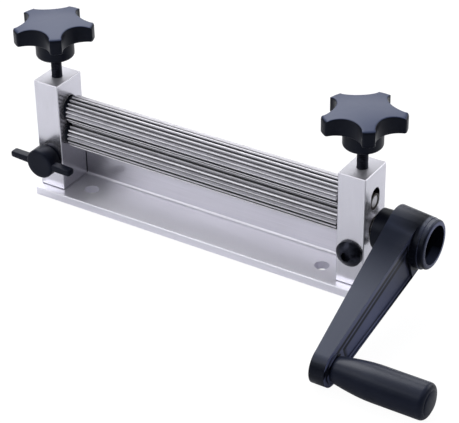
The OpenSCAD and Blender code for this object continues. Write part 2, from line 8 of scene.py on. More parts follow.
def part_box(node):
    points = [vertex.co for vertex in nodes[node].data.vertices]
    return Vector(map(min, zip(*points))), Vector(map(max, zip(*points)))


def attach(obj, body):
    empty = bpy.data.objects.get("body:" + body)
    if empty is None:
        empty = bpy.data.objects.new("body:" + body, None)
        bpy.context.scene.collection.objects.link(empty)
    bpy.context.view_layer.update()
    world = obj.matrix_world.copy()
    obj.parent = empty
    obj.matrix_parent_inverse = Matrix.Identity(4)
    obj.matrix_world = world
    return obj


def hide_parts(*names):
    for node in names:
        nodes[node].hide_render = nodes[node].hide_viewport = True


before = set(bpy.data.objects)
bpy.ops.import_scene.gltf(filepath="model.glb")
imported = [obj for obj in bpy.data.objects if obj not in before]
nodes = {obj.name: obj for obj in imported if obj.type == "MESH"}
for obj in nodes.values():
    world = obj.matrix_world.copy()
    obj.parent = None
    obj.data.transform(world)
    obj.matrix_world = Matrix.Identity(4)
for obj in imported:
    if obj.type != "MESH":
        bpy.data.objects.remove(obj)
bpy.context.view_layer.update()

# Looks of the corrugating mill: moulded and threaded shapes, finishes, studio and camera.
# Lengths are in metres, and X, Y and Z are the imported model's own.

MM = 0.001

# Star knobs
LOBES = 5
STAR_R = 22.4 * MM
SCOOP_R = 12.4 * MM
SCOOP_REACH = 26.8 * MM
LOBE_CORNER = 1.3 * MM
LOBE_STEPS = 6
SCOOP_STEPS = 26
CORNER_STEPS = 7
CROWN_RISE = 2.6 * MM
CROWN_RING_SHARES = (0.97, 0.93, 0.86, 0.75, 0.6, 0.42, 0.22, 0.05)
RIM_ROUND = 2 * MM
TOP_ROUND = 0.8 * MM
LOW_ROUND = 0.6 * MM
KNOB_HUB_R = 10.6 * MM
KNOB_HUB_H = 11.2 * MM
KNOB_HUB_ROUND = KNOB_HUB_R / 6
KNOB_TURNS = {"left": -50.1, "right": -54.8}

# Adjusting screws
THREAD_PITCH = 1 * MM
THREAD_DEPTH = 0.5 * MM
THREAD_CREST_SHARE = 1 / 8
THREAD_ROOT_SHARE = 1 / 4
THREAD_SIDES = 36
THREAD_ROWS = 10
THREAD_IN_KNOB = 2 * MM
SCREW_TIP_R_SHARE = 0.6
SCREW_TIP_LEN_SHARE = 2 / 3
SCREW_TIP_CHAMFER = 0.3 * MM

# Grip
GRIP_NECK_R = 6.8 * MM
GRIP_SWELL_SHARE = 0.45
GRIP_SWELL_STEPS = 28
GRIP_ROUND_SHARE = 1 / 7
GRIP_DOME = 1.2 * MM
GRIP_LIP = 0.4 * MM
GRIP_BORE_R = 3.6 * MM
GRIP_BORE_DEPTH = 12 * MM
GRIP_SIDES = 96

# Wing knob
WING_TURN = -2
WING_HUB_R = 8.6 * MM
WING_HUB_ROUND = 1.4 * MM
WING_HUB_CHAMFER = 0.4 * MM
WING_HUB_SIDES = 72
WING_FRONT_SHARES = (0.6, 0.3, 0.05)
WING_NECK_R = 7.3 * MM
WING_NECK_H = 1.6 * MM
WING_BACK_GAP = 0.1 * MM
WING_STEP = 0.8 * MM
WING_DEPTH = 5 * MM
WING_ROOT_T = 4.6 * MM
WING_TIP_T = 3.6 * MM
WING_CORNER = 0.8 * MM
WING_TIP_ROUND = 1 * MM
WING_TIP_SHARE = 0.94
WING_SECTION_SHARES = (0, 0.4, 0.8, WING_TIP_SHARE, 0.975, 0.992, 1)

# Crank arm: its edges lie at an upper and a lower distance from the hub's axis, and one from the grip's
ARM_UPPER_R = 15.1 * MM
ARM_LOWER_R = 16.5 * MM
ARM_TIP_R = 10 * MM
ARM_MID_OUT = 19.9 * MM
ARM_FACE_OUT = 27.9 * MM
ARM_FACE_FALL = 3.8 * MM
ARM_RIM = 2 * MM
ARM_STEPS = (3.7 * MM, 8.6 * MM)
PANEL_END = 77.5 * MM
RECESS_SHARE = 0.6
HUB_LEN = 22.7 * MM
HUB_INNER_R = 15.4 * MM
HUB_MOUTH_R = 13.3 * MM
HUB_SHELL_R = 12.4 * MM
HUB_BLEND = 16 * MM
CUP_DEPTH = 16.6 * MM

# Shaded corners of the crank arm: below its steps, round its tube and, fainter, on its neck
STEP_SHADE = 1.2 * MM
STEP_SHADE_FADE = 3.04 * MM
STEP_SHADE_END = 3.8 * MM
TUBE_R = 14 * MM
TUBE_SHADE_R = 15.8 * MM
NECK_SHADE = 0.65
NECK_SHADE_START = (2 * MM, 10 * MM)
NECK_SHADE_END = (18 * MM, 50 * MM)

# Rollers: radii in the grooves where the painted shade ends and where the metal is bright, and how much
# further out the painted shade reaches below and above the axis
GROOVE_DARK_R = 6.42 * MM
GROOVE_BRIGHT_R = 6.64 * MM
UNDERSIDE = 2.6 * MM
UNDERSIDE_SHADE = 1.25 * MM
TOPSIDE = (5 * MM, 7.2 * MM)
TOPSIDE_SHADE = 0.8 * MM

# Joints between the uprights and the base, where shade is painted
SEAM_DEPTH = 0.5 * MM

# Widths of the rounded edges on copies of CAD nodes
ARM_EDGE = 0.8 * MM
BASE_EDGE = 0.25 * MM
POST_EDGE = 0.15 * MM
BUTTON_EDGE = 0.2 * MM
FLUTE_EDGE = 0.12 * MM
HARD_EDGE_ANGLE = 30
FLAT_ANGLE = 0.6
WELD = 0.001 * MM

# Plastic tones, and the colours of the painted light on the plastics' topsides and the crank arm's outer
# side
DEEP_NYLON = (0.0022, 0.0028, 0.006)
LIGHT_NYLON = (0.004, 0.005, 0.010)
STAR_PAINTED_LIGHT = (0.085, 0.11, 0.215)
CRANK_PAINTED_LIGHT = (0.09, 0.11, 0.19)
SIDE_PAINTED_LIGHT = (0.085, 0.096, 0.17)

# Softboxes: place, size and power of each
LAMP_AIM = (0, 0, 0.05)
SOFTBOXES = {
    "back_box": ((-0.79, 1.28, 1.05), (1.4, 1), 7.8),
    "top_box": ((-0.8, 0.45, 1.6), (1.2, 1), 12),
    "left_box": ((-0.84, -0.63, 1.59), (1.2, 1), 2.5),
    "front_box": ((-0.85, -1.37, 1.07), (1.4, 1), 11),
    "right_box": ((1.6, -0.1, 0.7), (1.2, 1), 2),
    "rear_box": ((1.1, 1.5, 0.8), (1.2, 1), 10),
}
FLOOR_HALF = 6

# Camera
CAMERA_AZIMUTH = 31.758
CAMERA_ELEVATION = 33.5
CAMERA_ROLL = -0.431
CAMERA_AIM = (0.02766, 0.00882, -0.01066)
CAMERA_DISTANCE = 0.98908
CAMERA_CLIP = (0.01, 50)
SENSOR = 36
LENS = 140.89
SHIFT = (-0.0604, 0.09285)


class Value:
    """A socket's number or colour. Sums, differences, products and abs of numbers add Math nodes."""

    def __init__(self, finish, socket):
        self.finish = finish
        self.socket = socket

    def math(self, operation, *terms):
        return self.finish.node("ShaderNodeMath", {"operation": operation}, dict(enumerate(terms)))

    def __add__(self, other):
        return self.math("ADD", self, other)

    def __radd__(self, other):
        return self.math("ADD", other, self)

    def __sub__(self, other):
        return self.math("SUBTRACT", self, other)

    def __rsub__(self, other):
        return self.math("SUBTRACT", other, self)

    def __mul__(self, other):
        return self.math("MULTIPLY", self, other)

    def __rmul__(self, other):
        return self.math("MULTIPLY", other, self)

    def __abs__(self):
        return self.math("ABSOLUTE", self)


class Finish:
    """A material or world being made out of nodes."""

    def __init__(self, owner):
        owner.use_nodes = True
        self.tree = owner.node_tree
        self.tree.nodes.clear()

    def node(self, kind, settings=None, sockets=None, output=0):
        """Adds a node with its properties and inputs set, and gives one of its outputs."""
        made = self.tree.nodes.new(kind)
        for name, value in (settings or {}).items():
            setattr(made, name, value)
        for key, value in (sockets or {}).items():
            socket = pick(made.inputs, key)
            if isinstance(value, Value):
                self.tree.links.new(value.socket, socket)
            else:
                socket.default_value = value
        return Value(self, pick(made.outputs, output))

    def vector(self, operation, *terms, output=0):
        return self.node("ShaderNodeVectorMath", {"operation": operation}, dict(enumerate(terms)), output)

    def part(self, vector, axis):
        """A vector's X, Y or Z."""
        return self.node("ShaderNodeSeparateXYZ", {}, {0: vector}, axis)

    def place(self):
        """The place on the object, in metres."""
        return self.node("ShaderNodeTexCoord", output="Object")

    def along(self, axis):
        """The object's own X, Y or Z coordinate."""
        return self.part(self.place(), axis)

    def slope(self, axis):
        """1 where the surface faces up an axis of the object, 0 edge-on and -1 down it."""
        return self.part(self.node("ShaderNodeTexCoord", output="Normal"), axis)

    def facing(self, axis, low=0.75, high=0.95):
        """1 where the surface faces either way along an axis of the object, 0 where it doesn't."""
        return self.ramp(abs(self.slope(axis)), low, high)

    def towards(self, axis, low, high):
        """1 where the surface faces up an axis of the object, 0 on its other sides."""
        return self.ramp(self.slope(axis), low, high)

    def topside(self):
        """1 where the surface faces up, 0 on its sides."""
        return self.towards("Z", 0.6, 0.95)

    def noise(self, scale, detail=2, rough=0.5, stretch=(1, 1, 1)):
        """Noise of a scale per metre, times the stretch on X, Y and Z."""
        where = self.vector("MULTIPLY", self.place(), stretch)
        return self.node(
            "ShaderNodeTexNoise", {}, {"Vector": where, "Scale": scale, "Detail": detail, "Roughness": rough}
        )

    def ramp(self, value, low, high, to_low=0, to_high=1):
        """value from low to high becomes to_low to to_high, and stays there beyond."""
        return self.node(
            "ShaderNodeMapRange",
            {"clamp": True},
            {"Value": value, "From Min": low, "From Max": high, "To Min": to_low, "To Max": to_high},
        )

    def fall(self, value, low, high, top=1):
        """top where value is under low, falling to 0 at high."""
        return self.ramp(value, low, high, top, 0)

    def mix(self, share, first, second):
        return self.node(
            "ShaderNodeMix",
            {"data_type": "RGBA"},
            {"Factor_Float": share, "A_Color": first, "B_Color": second},
            "Result_Color",
        )

    def bump(self, height, depth, strength):
        return self.node("ShaderNodeBump", {}, {"Height": height, "Distance": depth, "Strength": strength})

    def surface(self, **sockets):
        named = {name.replace("_", " "): value for name, value in sockets.items()}
        shader = self.node("ShaderNodeBsdfPrincipled", {}, named)
        self.node("ShaderNodeOutputMaterial", {}, {"Surface": shader}, None)


def pick(sockets, key):
    """The socket with that number, identifier or name."""
    if key is None:
        return None
    if isinstance(key, int):
        return sockets[key]
    return next(s for s in sockets if key in (s.identifier, s.name))


def new_finish(name):
    """A new material and the finish that its nodes are made with."""
    material = bpy.data.materials.new(name)
    return material, Finish(material)


def middle(node):
    """The middle of a CAD node's box."""
    low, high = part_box(node)
    return (low + high) / 2


# Finishes


def post_seam_shade(f):
    """1 where shade is painted: where an upright meets the fence or the foot, and inside its bearing holes.
    """
    low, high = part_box("right_upright")
    fence_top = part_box("base_angle")[1].z
    bush_low, bush_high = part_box("right_lower_bush")
    hole_r = (bush_high.y - bush_low.y) / 2 + SEAM_DEPTH
    side = abs(f.along("X"))
    behind = f.ramp(f.along("Y"), high.y - SEAM_DEPTH, high.y) * f.facing("X", 0.5, 0.9)
    behind = behind * f.fall(f.along("Z"), fence_top, fence_top + SEAM_DEPTH)
    below = f.fall(f.along("Z"), low.z, low.z + SEAM_DEPTH)
    inside = f.ramp(side, low.x, low.x + SEAM_DEPTH) * f.fall(side, high.x - SEAM_DEPTH, high.x)
    inside = inside * f.fall(abs(f.along("Y")), hole_r, hole_r + SEAM_DEPTH)
    inside = inside * f.fall(f.along("Z"), high.z - 2 * SEAM_DEPTH, high.z - SEAM_DEPTH)
    return f.ramp(behind + below + inside, 0, 1)


def base_seam_shade(f):
    """1 where shade is painted on the fence, beside the uprights' inner faces."""
    low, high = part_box("right_upright")
    beside = f.ramp(abs(f.along("X")), low.x - SEAM_DEPTH, low.x - SEAM_DEPTH / 2)
    beside = beside * f.fall(f.along("Y"), high.y + SEAM_DEPTH, high.y + 2 * SEAM_DEPTH)
    return beside * f.ramp(f.along("Y"), high.y - SEAM_DEPTH, high.y - SEAM_DEPTH / 4)


def milled_aluminium(name, grain, cut_axis, tone, rough, seam_shade, painted_foot_light=False):
    """Satin aluminium with fine lines along one axis, and duller where it is sawn across.

    grain holds the lines' stretch on X, Y and Z, tone and rough hold a low and a high value, and
    the next argument gives painted shade in the joints. The last one, when true, gives the topside and
    all in front of the fence painted light, a lighter colour.
    """
    material, f = new_finish(name)
    lines = f.noise(1, 3, 0.6, grain)
    clouds = f.noise(45, 3)
    sawn = f.facing(cut_axis)
    dull, bright = [(0.97 * t, 0.96 * t, 1.04 * t, 1) for t in tone]
    colour = f.mix(f.ramp(0.7 * lines + 0.3 * clouds, 0.3, 0.7), dull, bright)
    colour = f.mix(0.4 * sawn, colour, (0.42, 0.42, 0.45, 1))
    metallic = 0.9
    # Painted light: a lighter colour on the topside and on all in front of the fence
    if painted_foot_light:
        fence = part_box("right_upright")[1].y
        foot = f.fall(f.along("Y"), fence - SEAM_DEPTH / 4, fence)
        colour = f.mix(f.ramp(f.topside() + foot, 0, 1), colour, (0.90, 0.89, 0.96, 1))
        metallic = 0.9 - 0.2 * foot
    edge = (1 - f.facing("X", 0.8, 0.99)) * (1 - f.facing("Y", 0.8, 0.99)) * (1 - f.facing("Z", 0.8, 0.99))
    worn = f.ramp(0.5 * lines + 0.5 * clouds, 0.3, 0.7, *rough)
    # Painted shade: a dark colour in the joints and bearing holes
    f.surface(
        Base_Color=f.mix(seam_shade(f), colour, (0.02, 0.02, 0.025, 1)),
        Metallic=metallic,
        Roughness=worn + 0.3 * sawn + 0.2 * edge,
        Normal=f.bump(lines, 0.03 * MM, 0.3),
    )
    return material


def roller_metal(name, axis_height):
    """Turned and fluted bar: bright crests, and grooves darkened by painted shade.

    The painted shade reaches furthest out on the roller's underside and less far on its top, and
    it stays there while the roller turns.
    """
    material, f = new_finish(name)
    across = f.vector("MULTIPLY", f.vector("SUBTRACT", f.place(), (0, 0, axis_height)), (0, 1, 1))
    radius = f.vector("LENGTH", across, output="Value")
    journal = f.fall(radius, GROOVE_DARK_R - 2 * SEAM_DEPTH, GROOVE_DARK_R - SEAM_DEPTH)
    turned = f.node(
        "ShaderNodeVectorTransform",
        {"vector_type": "VECTOR", "convert_from": "OBJECT", "convert_to": "WORLD"},
        {0: across},
    )
    height = f.part(turned, "Z")
    # Painted shade: dark grooves, reaching further out below the axis and a little above it
    shade_reach = f.fall(height, -UNDERSIDE, 0, UNDERSIDE_SHADE) + f.ramp(height, *TOPSIDE, 0, TOPSIDE_SHADE)
    crest = f.ramp(f.ramp(radius - shade_reach, GROOVE_DARK_R, GROOVE_BRIGHT_R) + journal, 0, 1)
    lines = f.noise(1, 2, 0.5, (60, 2600, 2600))
    smears = f.noise(1, 3, 0.5, (90, 260, 260))
    bright = crest * f.ramp(smears, 0.25, 0.75, 0.8, 1)
    f.surface(
        Base_Color=f.mix(bright, (0.032, 0.032, 0.037, 1), (0.73, 0.72, 0.76, 1)),
        Metallic=0.6,
        Roughness=f.ramp(smears, 0.3, 0.7, 0.36, 0.44),
        Normal=f.bump(lines, 0.02 * MM, 0.3),
    )
    return material


def arm_line():
    """The hub's axis and the reach from it to the grip's axis, as (Y, Z) vectors of the crank at rest."""
    hub = Vector(middle("crank_washer")[1:])
    return hub, Vector(middle("handle_grip")[1:]) - hub


def edge_normal(reach, side, edge_r):
    """The inward normal of the arm's upper edge, with side 1, or of its lower edge, with side -1."""
    down = reach.normalized()
    taper = (ARM_TIP_R - edge_r) / reach.length
    return taper * down + side * math.sqrt(1 - taper**2) * Vector((-down.y, down.x))


def arm_shade(f):
    """1 on the crank below the steps of its recess and round its tube, and less on its neck."""
    hub, reach = arm_line()
    upper = edge_normal(reach, 1, ARM_UPPER_R)
    out = f.vector("SUBTRACT", f.place(), (0, *hub))
    inward = f.vector("DOT_PRODUCT", out, (0, *upper), output="Value") + ARM_UPPER_R
    along = f.vector("DOT_PRODUCT", out, (0, *reach.normalized()), output="Value")
    radius = f.vector("LENGTH", f.vector("MULTIPLY", out, (0, 1, 1)), output="Value")
    outer, inner = [
        f.ramp(inward, step - STEP_SHADE / 3, step)
        * f.fall(inward, step + STEP_SHADE_FADE, step + STEP_SHADE_END)
        for step in ARM_STEPS
    ]
    inner = inner * f.fall(along, PANEL_END, PANEL_END + STEP_SHADE / 2)
    end = f.ramp(along, PANEL_END - STEP_SHADE_END, PANEL_END - STEP_SHADE)
    end = end * f.fall(along, PANEL_END, PANEL_END + STEP_SHADE / 3)
    end = end * f.ramp(inward, ARM_STEPS[1] - STEP_SHADE / 3, ARM_STEPS[1])
    beyond_tube = f.ramp(radius, TUBE_SHADE_R, TUBE_SHADE_R + STEP_SHADE)
    steps = (outer + inner + end) * beyond_tube * f.towards("X", 0.3, 0.5)
    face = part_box("right_upright")[1].x + ARM_FACE_OUT
    tube = f.fall(radius, TUBE_R, TUBE_SHADE_R) * f.fall(f.along("X"), face + MM, face + 2 * MM)
    neck = f.ramp(along, *NECK_SHADE_START) * f.fall(along, *NECK_SHADE_END, NECK_SHADE)
    return f.ramp(steps + tube + neck, 0, 1)


def moulded_plastic(name, top_light, sheen, tone=1, light_colour=STAR_PAINTED_LIGHT, side_light=0, shade=None):
    """Black reinforced nylon with a fine spark grain and faint flow marks.

    The first number is painted light, a lighter colour on its topside, and sheen is the gloss there.
    tone makes the nylon lighter, the side number is painted light on its outer side, and shade gives
    painted shade, the places that both painted lights leave out.
    """
    material, f = new_finish(name)
    grain = f.noise(2600, 3, 0.6)
    flow = f.noise(70, 4, 0.55, (1, 1, 0.6))
    deep, light = [(*(tone * c for c in nylon), 1) for nylon in (DEEP_NYLON, LIGHT_NYLON)]
    colour = f.mix(f.ramp(flow, 0.3, 0.7), deep, light)
    # Painted light: a lighter colour on the topside, kept off the places of painted shade
    top = f.topside()
    if shade:
        unshaded = 1 - shade(f)
        top = top * unshaded
        # Painted light on the outer side, the faces towards +X
        side = 0.85 * f.towards("X", 0.7, 0.97) + 0.15 * f.facing("X", 0.7, 0.97)
        colour = f.mix(side_light * side * unshaded, colour, (*SIDE_PAINTED_LIGHT, 1))
    f.surface(
        Base_Color=f.mix(top_light * top, colour, (*light_colour, 1)),
        Roughness=f.ramp(0.35 * grain + 0.65 * flow, 0.3, 0.7, 0.32, 0.42),
        Normal=f.bump(grain, 0.04 * MM, 0.35),
        Specular_IOR_Level=0.12,
        Specular_Tint=(0.75, 0.82, 1, 1),
        Coat_Weight=sheen * top,
        Coat_Roughness=0.34,
    )
    return material


def black_steel(name):
    """Blackened steel: oily dark metal, lighter where the blacking is thin."""
    material, f = new_finish(name)
    patches = f.noise(420, 4)
    fine = f.noise(3200)
    f.surface(
        Base_Color=f.mix(f.ramp(patches, 0.35, 0.7), (0.008, 0.009, 0.015, 1), (0.026, 0.028, 0.042, 1)),
        Metallic=0.7,
        Roughness=f.ramp(patches, 0.3, 0.7, 0.28, 0.42),
        Normal=f.bump(fine, 0.02 * MM, 0.3),
        Specular_IOR_Level=0.2,
    )
    return material


def bright_steel(name):
    """Turned steel with fine rings round X."""
    material, f = new_finish(name)
    turned = f.noise(1, 2, 0.5, (2400, 300, 300))
    f.surface(
        Base_Color=f.mix(f.ramp(turned, 0.3, 0.7), (0.50, 0.50, 0.51, 1), (0.62, 0.62, 0.63, 1)),
        Metallic=1,
        Roughness=f.ramp(turned, 0.3, 0.7, 0.22, 0.34),
        Normal=f.bump(turned, 0.02 * MM, 0.3),
    )
    return material


def bearing_bronze(name):
    """Sintered bronze dark with oil, finely speckled."""
    material, f = new_finish(name)
    pores = f.noise(3000)
    f.surface(
        Base_Color=f.mix(f.ramp(pores, 0.35, 0.65), (0.022, 0.019, 0.016, 1), (0.05, 0.043, 0.034, 1)),
        Metallic=0.6,
        Roughness=f.ramp(pores, 0.3, 0.7, 0.38, 0.5),
        Normal=f.bump(pores, 0.03 * MM, 0.4),
    )
    return material


# Outlines and meshes


def polar(radius, angle):
    return Vector((radius * math.cos(math.radians(angle)), radius * math.sin(math.radians(angle))))


def heading(v):
    return math.degrees(math.atan2(v.y, v.x))


def arc(centre, radius, start, end, steps):
    """Points on an arc, in degrees, without its last one."""
    turn = (end - start) / steps
    return [Vector(centre) + polar(radius, start + turn * i) for i in range(steps)]


def quarter(steps):
    """The angles of a quarter turn from 0 up in equal steps, in radians."""
    return [math.radians(90 * i / steps) for i in range(steps + 1)]


def rounded_outline(half_w, half_h, corner):
    """Points round a rectangle with rounded corners."""
    steps = 7
    points = []
    for k, (x, y) in enumerate(((1, 1), (-1, 1), (-1, -1), (1, -1))):
        centre = Vector((x * (half_w - corner), y * (half_h - corner)))
        points += [centre + polar(corner, 90 * (k + i / steps)) for i in range(steps + 1)]
    return points


def smooth_step(share):
    share = min(max(share, 0), 1)
    return share * share * (3 - 2 * share)


def skin(rings):
    """A closed mesh through rings of equally many points, from the lowest to the highest."""
    bm = bmesh.new()
    rows = [[bm.verts.new(p) for p in ring] for ring in rings]
    count = len(rows[0])
    for low, high in zip(rows, rows[1:]):
        for i in range(count):
            j = (i + 1) % count
            bm.faces.new((low[i], low[j], high[j], high[i]))
    bm.faces.new(rows[0][::-1])
    bm.faces.new(rows[-1])
    return bm


def lathe(profile, sides):
    """A turned mesh round Z through (radius, height) points, closed at both ends."""
    return skin([[(*polar(radius, 360 * i / sides), z) for i in range(sides)] for radius, z in profile])


def joined(parts):
    """One mesh out of several, which are freed."""
    whole = bmesh.new()
    for part in parts:
        mesh = bpy.data.meshes.new("part")
        part.to_mesh(mesh)
        part.free()
        whole.from_mesh(mesh)
        bpy.data.meshes.remove(mesh)
    return whole


def softened(node, width, segments=2, wanted=None):
    """A copy of a CAD node's mesh with its hard edges, or those wanted, rounded to the given width."""
    bm = bmesh.new()
    bm.from_mesh(nodes[node].data)
    bmesh.ops.remove_doubles(bm, verts=bm.verts, dist=WELD)
    bmesh.ops.dissolve_limit(bm, angle_limit=math.radians(FLAT_ANGLE), verts=bm.verts, edges=bm.edges)
    hard = [e for e in bm.edges if e.is_manifold and e.calc_face_angle(0) > math.radians(HARD_EDGE_ANGLE)]
    if wanted is not None:
        hard = [e for e in hard if wanted(e)]
    bmesh.ops.bevel(
        bm, geom=hard, offset=width, offset_type="OFFSET", segments=segments, profile=0.5,
        affect="EDGES", clamp_overlap=True, loop_slide=True,
    )
    return bm


def piece(name, bm, material, body, node, matrix=None, sharp=40, weighted=True):
    """Turns a mesh into the piece that stands for a CAD node, moving with its body.

    Its edges sharper than sharp degrees stay sharp, and weighted evens the shading of its flats.
    """
    if matrix is not None:
        bm.transform(matrix)
    bmesh.ops.recalc_face_normals(bm, faces=bm.faces)
    mesh = bpy.data.meshes.new(name)
    bm.to_mesh(mesh)
    bm.free()
    mesh.shade_smooth()
    mesh.set_sharp_from_angle(angle=math.radians(sharp))
    made = bpy.data.objects.new(name, mesh)
    bpy.context.scene.collection.objects.link(made)
    mesh.materials.append(material)
    if weighted:
        even = made.modifiers.new("even_normals", "WEIGHTED_NORMAL")
        even.keep_sharp = True
    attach(made, body)
    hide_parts(node)


# Rollers


def fluted_roller(level, body):
    """The CAD roller with softened flutes. Its washer gives the height of its axis."""
    node = f"{level}_roller"
    finish = roller_metal(f"{node}_metal", middle(f"left_{level}_washer").z)
    piece(f"{node}_fluted", softened(node, FLUTE_EDGE), finish, body, node)


# Star knobs and their screws


def star_outline(inset):
    """The knob's outline taken in by inset: lobe ends, lobe corners and scoops as arcs."""
    corner_ring = STAR_R - LOBE_CORNER
    reach = SCOOP_R + LOBE_CORNER
    near = (corner_ring**2 + SCOOP_REACH**2 - reach**2) / (2 * corner_ring * SCOOP_REACH)
    half_step = 180 / LOBES
    half_lobe = half_step - math.degrees(math.acos(near))
    points = []
    for i in range(LOBES):
        lobe = 2 * half_step * i
        lobe_end = lobe + half_lobe
        scoop_turn = lobe + half_step
        next_lobe = lobe + 2 * half_step - half_lobe
        scoop = polar(SCOOP_REACH, scoop_turn)
        corners = [polar(corner_ring, lobe_end), polar(corner_ring, next_lobe)]
        to_scoop = [heading(scoop - c) for c in corners]
        first, last = [(t - scoop_turn + 180) % 360 + scoop_turn - 180 for t in to_scoop]
        points += arc((0, 0), STAR_R - inset, lobe - half_lobe, lobe_end, LOBE_STEPS)
        points += arc(corners[0], LOBE_CORNER - inset, lobe_end, first, CORNER_STEPS)
        points += arc(scoop, SCOOP_R + inset, first + 180, last + 180, SCOOP_STEPS)
        points += arc(corners[1], LOBE_CORNER - inset, last, next_lobe, CORNER_STEPS)
    return points


def crown_height(distance, thickness):
    """Height of the crowned top at a distance from the knob's axis, with its rounded rim."""
    crown_r = (STAR_R**2 + CROWN_RISE**2) / (2 * CROWN_RISE)
    centre = thickness + CROWN_RISE - crown_r
    rim_r = STAR_R - RIM_ROUND
    rim_z = centre + math.sqrt((crown_r - RIM_ROUND) ** 2 - rim_r**2)
    touch = rim_r * crown_r / (crown_r - RIM_ROUND)
    if distance < touch:
        return centre + math.sqrt(crown_r**2 - distance**2)
    return rim_z + math.sqrt(max(RIM_ROUND**2 - (distance - rim_r) ** 2, 0))


def star_knob(side, turn, material):
    """A moulded knob: a round hub with a fillet, then scooped lobes under a crowned top."""
    node = f"{side}_star_knob"
    low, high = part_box(node)
    screw_low, screw_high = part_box(f"{side}_adjusting_screw")
    axis = middle(f"{side}_adjusting_screw")
    thickness = high.z - low.z - KNOB_HUB_H - CROWN_RISE
    spokes = [heading(p) for p in star_outline(0)]

    def circle(r, z):
        return [(*polar(r, a), z) for a in spokes]

    rings = [circle((screw_high.x - screw_low.x) / 2, 0), circle(KNOB_HUB_R - KNOB_HUB_ROUND, 0)]
    for a in quarter(5)[1:]:
        r = KNOB_HUB_R - KNOB_HUB_ROUND * (1 - math.sin(a))
        rings.append(circle(r, KNOB_HUB_ROUND * (1 - math.cos(a))))
    for a in quarter(5):
        r = KNOB_HUB_R + TOP_ROUND * (1 - math.cos(a))
        rings.append(circle(r, KNOB_HUB_H - TOP_ROUND * (1 - math.sin(a))))
    under = [(*p, KNOB_HUB_H) for p in star_outline(LOW_ROUND)]
    rings.append([(Vector(p) + Vector(q)) / 2 for p, q in zip(rings[-1], under)])
    rings.append(under)
    for a in quarter(4)[1:]:
        z = KNOB_HUB_H + LOW_ROUND * (1 - math.cos(a))
        rings.append([(*p, z) for p in star_outline(LOW_ROUND * (1 - math.sin(a)))])
    for a in quarter(6):
        ring = []
        for p in star_outline(TOP_ROUND * (1 - math.cos(a))):
            at_tip = smooth_step((p.length - STAR_R + RIM_ROUND + TOP_ROUND) / RIM_ROUND)
            top = KNOB_HUB_H + crown_height(p.length, thickness)
            ring.append((*p, top - TOP_ROUND * (1 - math.sin(a)) * (1 - at_tip)))
        rings.append(ring)
    for share in CROWN_RING_SHARES:
        ring = [p * share for p in star_outline(TOP_ROUND)]
        rings.append([(*p, KNOB_HUB_H + crown_height(p.length, thickness)) for p in ring])
    place = Matrix.Translation((axis.x, axis.y, low.z)) @ Matrix.Rotation(math.radians(turn), 4, "Z")
    piece(f"{side}_star", skin(rings), material, f"{side}_knob", node, place, 50, False)


def thread_drop(phase):
    """Share of the thread's depth at a place across one turn: flat crest, straight flanks, flat root."""
    flank = (1 - THREAD_CREST_SHARE - THREAD_ROOT_SHARE) / 2
    if phase < flank:
        return phase / flank
    if phase < flank + THREAD_ROOT_SHARE:
        return 1
    if phase < 2 * flank + THREAD_ROOT_SHARE:
        return 1 - (phase - flank - THREAD_ROOT_SHARE) / flank
    return 0


def adjusting_screw(side, material):
    """Threaded rod with a turned tip, running down into the upright from the knob."""
    node = f"{side}_adjusting_screw"
    low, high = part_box(node)
    axis = middle(node)
    radius = (high.x - low.x) / 2
    tip_r = SCREW_TIP_R_SHARE * radius
    start = low.z + SCREW_TIP_LEN_SHARE * radius
    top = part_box(f"{side}_star_knob")[0].z + THREAD_IN_KNOB

    def circle(r, z):
        return [(*polar(r, 360 * i / THREAD_SIDES), z) for i in range(THREAD_SIDES)]

    def thread_ring(row):
        z = start + row * THREAD_PITCH / THREAD_ROWS
        run_in = smooth_step((z - start) / THREAD_PITCH)
        ring = []
        for i in range(THREAD_SIDES):
            drop = thread_drop((row / THREAD_ROWS - i / THREAD_SIDES) % 1)
            r = radius - THREAD_DEPTH * (1 - run_in * (1 - drop))
            ring.append((*polar(r, 360 * i / THREAD_SIDES), z))
        return ring

    rows = round((top - start) / THREAD_PITCH * THREAD_ROWS)
    rings = [circle(tip_r - SCREW_TIP_CHAMFER, low.z), circle(tip_r, low.z + SCREW_TIP_CHAMFER)]
    rings += [circle(tip_r, start), circle(radius - THREAD_DEPTH, start)]
    rings += [thread_ring(row) for row in range(1, rows + 1)]
    rings += [circle(radius, top + THREAD_PITCH / 4), circle(radius, high.z)]
    place = Matrix.Translation((axis.x, axis.y, 0))
    piece(f"{side}_stud", skin(rings), material, f"{side}_knob", node, place, 70, False)


# Crank and grip


def handle_grip(material):
    """The turned grip: a neck that swells to the barrel, a rounded rim and a low dome."""
    low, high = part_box("handle_grip")
    axis = middle("handle_grip")
    length = high.x - low.x
    radius = (high.z - low.z) / 2
    rim_round = 2 * radius * GRIP_ROUND_SHARE
    swell = length * GRIP_SWELL_SHARE
    rim = length - GRIP_DOME - rim_round
    profile = [(GRIP_BORE_R, GRIP_BORE_DEPTH), (GRIP_BORE_R, GRIP_LIP), (GRIP_BORE_R + GRIP_LIP, 0)]
    profile += [(GRIP_NECK_R - GRIP_LIP, 0), (GRIP_NECK_R, GRIP_LIP)]
    for i in range(1, GRIP_SWELL_STEPS + 1):
        share = i / GRIP_SWELL_STEPS
        r = GRIP_NECK_R + (radius - GRIP_NECK_R) * math.sin(math.pi / 2 * share)
        profile.append((r, swell * share))
    for a in quarter(8):
        profile.append((radius - rim_round * (1 - math.cos(a)), rim + rim_round * math.sin(a)))
    for a in quarter(10)[1:-1]:
        profile.append(((radius - rim_round) * math.cos(a), length - GRIP_DOME * (1 - math.sin(a))))
    place = Matrix.Translation((low.x, axis.y, axis.z)) @ Matrix.Rotation(math.pi / 2, 4, "Y")
    barrel = lathe(profile, GRIP_SIDES)
    piece("grip", barrel, material, "grip", "handle_grip", place, 60, False)


